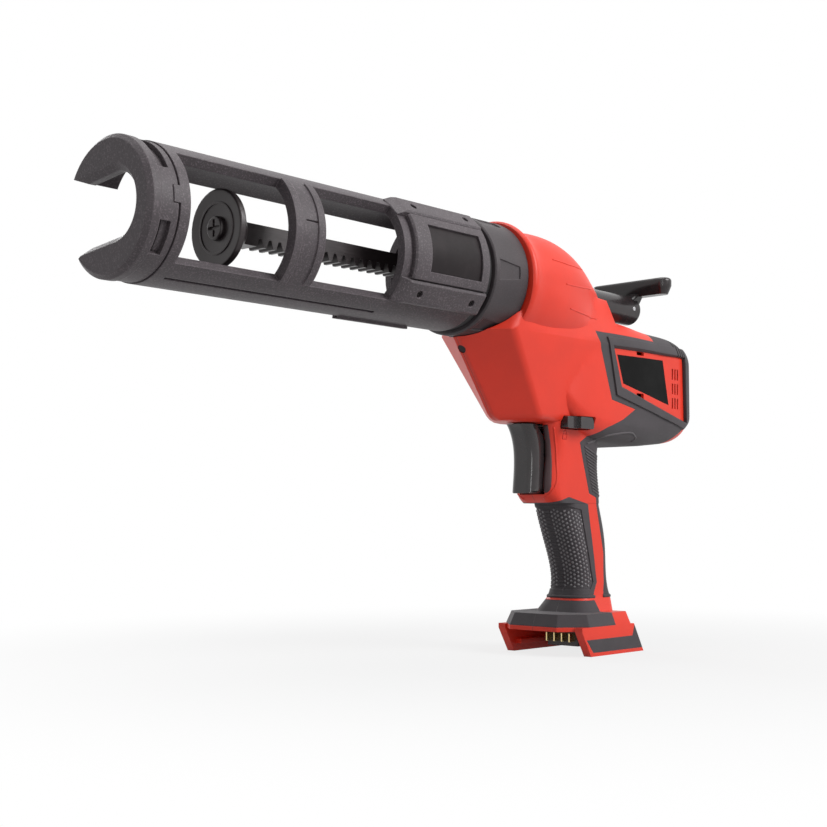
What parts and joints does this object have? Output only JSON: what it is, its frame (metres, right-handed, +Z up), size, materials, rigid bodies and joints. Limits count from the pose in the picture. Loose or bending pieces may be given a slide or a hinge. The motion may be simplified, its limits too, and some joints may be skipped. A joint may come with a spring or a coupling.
{
  "type": "cordless caulking tool",
  "caption": "Cordless caulking tool with an open swivelling cartridge cradle, a rack-driven piston rod, a pull handle and a pistol grip on a battery foot.",
  "frame": {"origin": "centre of the foot's underside, on the plane of its skirts, where a battery slides on", "axes": "+X forward along the barrel to the muzzle, +Y to the tool's left, +Z up"},
  "size_m": [0.506, 0.0846, 0.2872],
  "materials": {
    "holder_plastic": "fine textured black moulding",
    "dark_gloss": "smooth glossy black",
    "dark_steel": "black oxide",
    "steel": "machined",
    "rubber": "matt",
    "inner_plastic": "plain moulded",
    "red_plastic": "satin moulded red",
    "grip_rubber": "soft moulded grip",
    "trim_plastic": "plain moulded",
    "label": "bare gloss plate",
    "cast": "die cast",
    "contact": "plated",
    "board": "coated board",
    "lens": "clear"
  },
  "bodies": {
    "housing": {"housing_left": "red_plastic", "housing_right": "red_plastic", "housing_screws": "dark_steel", "motor_surround_left": "grip_rubber", "motor_surround_right": "grip_rubber", "front_grip_left": "grip_rubber", "front_grip_right": "grip_rubber", "foot_bumper_left": "grip_rubber", "foot_bumper_right": "grip_rubber", "foot_trim_left": "grip_rubber", "foot_trim_right": "grip_rubber", "vent_panel_left": "red_plastic", "vent_panel_right": "red_plastic", "label_plate": "label", "front_bush": "inner_plastic", "rear_bush": "inner_plastic", "gearbox_case": "cast", "rod_guide": "steel", "motor": "steel", "shaft_bearings": "steel", "trigger_switch": "inner_plastic", "terminal_block": "inner_plastic", "terminal_blades": "contact", "control_board": "board", "work_light": "lens"},
    "holder": {"nose_cap": "holder_plastic", "holder_cradle": "holder_plastic", "sleeve_cover": "holder_plastic", "sleeve_inlay": "dark_gloss", "cover_screws": "dark_steel", "swivel_hub": "inner_plastic", "hub_retainer": "steel", "swivel_seal": "rubber"},
    "collar": {"locking_collar": "holder_plastic"},
    "rod": {"rack_rod": "dark_steel", "piston_plate": "dark_steel", "piston_screw": "dark_steel", "pull_handle": "dark_gloss", "handle_pin": "steel"},
    "drive": {"drive_pinion": "steel", "drive_shaft": "steel"},
    "trigger": {"trigger": "dark_gloss"},
    "lock": {"lock_button": "trim_plastic"}
  },
  "joints": [
    {"name": "holder_swivel", "type": "hinge", "parent": "housing", "child": "holder", "pos_m": [0.1, 0, 0.248], "axis": [1, 0, 0], "continuous": true},
    {"name": "collar_turn", "type": "hinge", "parent": "housing", "child": "collar", "pos_m": [0.1, 0, 0.248], "axis": [1, 0, 0], "range_deg": [0, 60]},
    {"name": "rod_slide", "type": "slide", "parent": "housing", "child": "rod", "axis": [1, 0, 0], "range_m": [-0.158, 0.028]},
    {"name": "pinion_spin", "type": "hinge", "parent": "housing", "child": "drive", "pos_m": [0.046, 0, 0.22705], "axis": [0, 1, 0], "range_deg": [-600, 120]},
    {"name": "trigger_pull", "type": "slide", "parent": "housing", "child": "trigger", "axis": [-1, 0, 0], "range_m": [0, 0.008], "stiffness_N_per_m": 900, "springref_m": -0.004},
    {"name": "lock_push", "type": "slide", "parent": "housing", "child": "lock", "axis": [0, -1, 0], "range_m": [0, 0.008]}
  ],
  "couplings": [
    {"joint": "pinion_spin", "follows": "rod_slide", "rad_per_m": 63.492}
  ]
}
